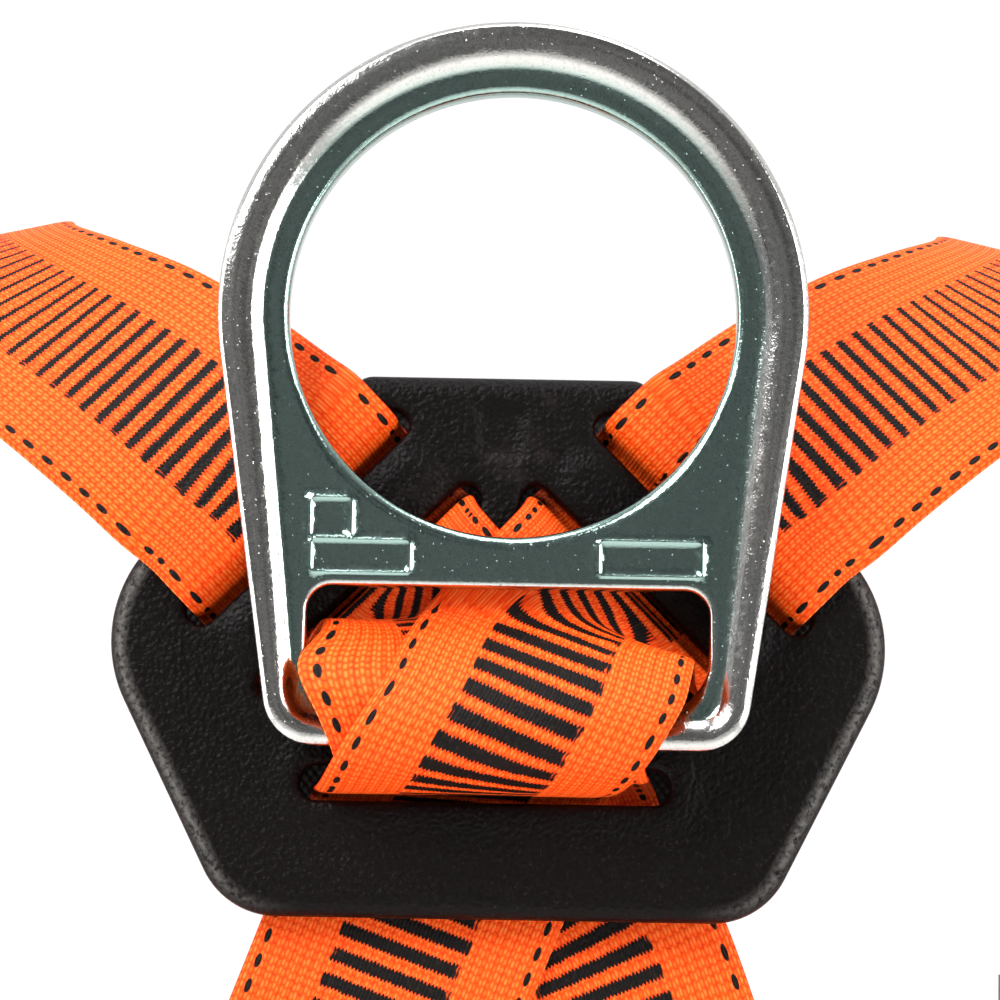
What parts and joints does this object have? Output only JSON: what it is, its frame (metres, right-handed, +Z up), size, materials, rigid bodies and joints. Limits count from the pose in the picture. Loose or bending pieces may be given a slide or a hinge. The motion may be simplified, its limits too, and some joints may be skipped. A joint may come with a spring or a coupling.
{
  "type": "safety harness",
  "caption": "Full-body fall-arrest harness of woven webbing with a dorsal D-ring and pad, slide-bar adjusters, quick-release buckles and leg loops.",
  "frame": {"origin": "centre of the dorsal D-ring's connector hole, in the ring's mid-plane", "axes": "+X towards the wearer's right, +Y from the wearer's back to the chest, +Z up the standing wearer's body"},
  "size_m": [0.3674, 0.2712, 0.757],
  "materials": {
    "zinc": "bright zinc plated",
    "pad": "moulded, fine leather grain",
    "webbing": "woven polyester webbing",
    "thread": "bonded polyester thread",
    "steel": "zinc plated steel",
    "alloy": "anodised",
    "plastic": "moulded",
    "elastic": "woven elastic",
    "foam": "closed-cell foam faced with knit",
    "label": "coated fabric"
  },
  "bodies": {
    "harness": {"back_strap_left": "webbing", "back_strap_right": "webbing", "chest_housing": "alloy", "chest_stitching": "thread", "chest_strap_left": "webbing", "chest_strap_right": "webbing", "chest_tongue": "steel", "dorsal_pad": "pad", "front_strap_left": "webbing", "front_strap_right": "webbing", "label_pouch": "label", "leg_housing_left": "alloy", "leg_housing_right": "alloy", "leg_strap_left": "webbing", "leg_strap_right": "webbing", "leg_tongue_left": "steel", "leg_tongue_right": "steel", "pad_liner": "foam", "seat_strap": "webbing", "thigh_strap_left": "webbing", "thigh_strap_right": "webbing", "torso_adjuster_left": "steel", "torso_adjuster_right": "steel", "torso_stitching": "thread"},
    "ring": {"dorsal_ring": "zinc"},
    "label_flap": {"label_flap": "label"},
    "chest_button_a": {"chest_button_a": "plastic"},
    "chest_button_b": {"chest_button_b": "plastic"},
    "chest_keeper": {"chest_keeper": "elastic"},
    "chest_slide_bar": {"chest_slide_bar": "steel"},
    "lanyard_loop_left": {"lanyard_loop_left": "plastic"},
    "lanyard_loop_right": {"lanyard_loop_right": "plastic"},
    "lanyard_sleeve_left": {"lanyard_sleeve_left": "plastic"},
    "lanyard_sleeve_right": {"lanyard_sleeve_right": "plastic"},
    "leg_button_a_left": {"leg_button_a_left": "plastic"},
    "leg_button_a_right": {"leg_button_a_right": "plastic"},
    "leg_button_b_left": {"leg_button_b_left": "plastic"},
    "leg_button_b_right": {"leg_button_b_right": "plastic"},
    "leg_keeper_left": {"leg_keeper_left": "elastic"},
    "leg_keeper_right": {"leg_keeper_right": "elastic"},
    "leg_slide_bar_left": {"leg_slide_bar_left": "steel"},
    "leg_slide_bar_right": {"leg_slide_bar_right": "steel"},
    "torso_keeper_left": {"torso_keeper_left": "elastic"},
    "torso_keeper_right": {"torso_keeper_right": "elastic"},
    "torso_slide_bar_left": {"torso_slide_bar_left": "steel"},
    "torso_slide_bar_right": {"torso_slide_bar_right": "steel"}
  },
  "joints": [
    {"name": "ring_tilt", "type": "hinge", "parent": "harness", "child": "ring", "pos_m": [0, 0, -0.0653], "axis": [1, 0, 0], "range_deg": [0, 170]},
    {"name": "torso_bar_slide_right", "type": "slide", "parent": "harness", "child": "torso_slide_bar_right", "axis": [0, 0, -1], "range_m": [0, 0.008]},
    {"name": "leg_bar_slide_right", "type": "slide", "parent": "harness", "child": "leg_slide_bar_right", "axis": [-1, 0, 0], "range_m": [0, 0.008]},
    {"name": "torso_keeper_slide_right", "type": "slide", "parent": "harness", "child": "torso_keeper_right", "axis": [0, 0, -1], "range_m": [0, 0.025]},
    {"name": "leg_keeper_slide_right", "type": "slide", "parent": "harness", "child": "leg_keeper_right", "axis": [-1, 0, 0], "range_m": [0, 0.002]},
    {"name": "lanyard_sleeve_slide_right", "type": "slide", "parent": "harness", "child": "lanyard_sleeve_right", "axis": [0, 0, 1], "range_m": [0, 0.005]},
    {"name": "lanyard_loop_hinge_right", "type": "hinge", "parent": "lanyard_sleeve_right", "child": "lanyard_loop_right", "pos_m": [0.1325, 0.2535, -0.112], "axis": [1, 0, 0], "range_deg": [0, 140]},
    {"name": "leg_button_press_a_right", "type": "slide", "parent": "harness", "child": "leg_button_a_right", "axis": [0, 0, -1], "range_m": [0, 0.003], "stiffness_N_per_m": 600},
    {"name": "leg_button_press_b_right", "type": "slide", "parent": "harness", "child": "leg_button_b_right", "axis": [0, 0, 1], "range_m": [0, 0.003], "stiffness_N_per_m": 600},
    {"name": "torso_bar_slide_left", "type": "slide", "parent": "harness", "child": "torso_slide_bar_left", "axis": [0, 0, -1], "range_m": [0, 0.008]},
    {"name": "leg_bar_slide_left", "type": "slide", "parent": "harness", "child": "leg_slide_bar_left", "axis": [1, 0, 0], "range_m": [0, 0.008]},
    {"name": "torso_keeper_slide_left", "type": "slide", "parent": "harness", "child": "torso_keeper_left", "axis": [0, 0, -1], "range_m": [0, 0.025]},
    {"name": "leg_keeper_slide_left", "type": "slide", "parent": "harness", "child": "leg_keeper_left", "axis": [1, 0, 0], "range_m": [0, 0.002]},
    {"name": "lanyard_sleeve_slide_left", "type": "slide", "parent": "harness", "child": "lanyard_sleeve_left", "axis": [0, 0, 1], "range_m": [0, 0.005]},
    {"name": "lanyard_loop_hinge_left", "type": "hinge", "parent": "lanyard_sleeve_left", "child": "lanyard_loop_left", "pos_m": [-0.1355, 0.2535, -0.112], "axis": [1, 0, 0], "range_deg": [0, 140]},
    {"name": "leg_button_press_a_left", "type": "slide", "parent": "harness", "child": "leg_button_a_left", "axis": [0, 0, -1], "range_m": [0, 0.003], "stiffness_N_per_m": 600},
    {"name": "leg_button_press_b_left", "type": "slide", "parent": "harness", "child": "leg_button_b_left", "axis": [0, 0, 1], "range_m": [0, 0.003], "stiffness_N_per_m": 600},
    {"name": "chest_bar_slide", "type": "slide", "parent": "harness", "child": "chest_slide_bar", "axis": [1, 0, 0], "range_m": [0, 0.008]},
    {"name": "chest_keeper_slide", "type": "slide", "parent": "harness", "child": "chest_keeper", "axis": [1, 0, 0], "range_m": [0, 0.004]},
    {"name": "chest_button_press_a", "type": "slide", "parent": "harness", "child": "chest_button_a", "axis": [0, 0, 1], "range_m": [0, 0.003], "stiffness_N_per_m": 600},
    {"name": "chest_button_press_b", "type": "slide", "parent": "harness", "child": "chest_button_b", "axis": [0, 0, -1], "range_m": [0, 0.003], "stiffness_N_per_m": 600},
    {"name": "label_flap_hinge", "type": "hinge", "parent": "harness", "child": "label_flap", "pos_m": [-0.04819, 0.0097, -0.18351], "axis": [-0.9341, 0, 0.3571], "range_deg": [0, 95]}
  ]
}
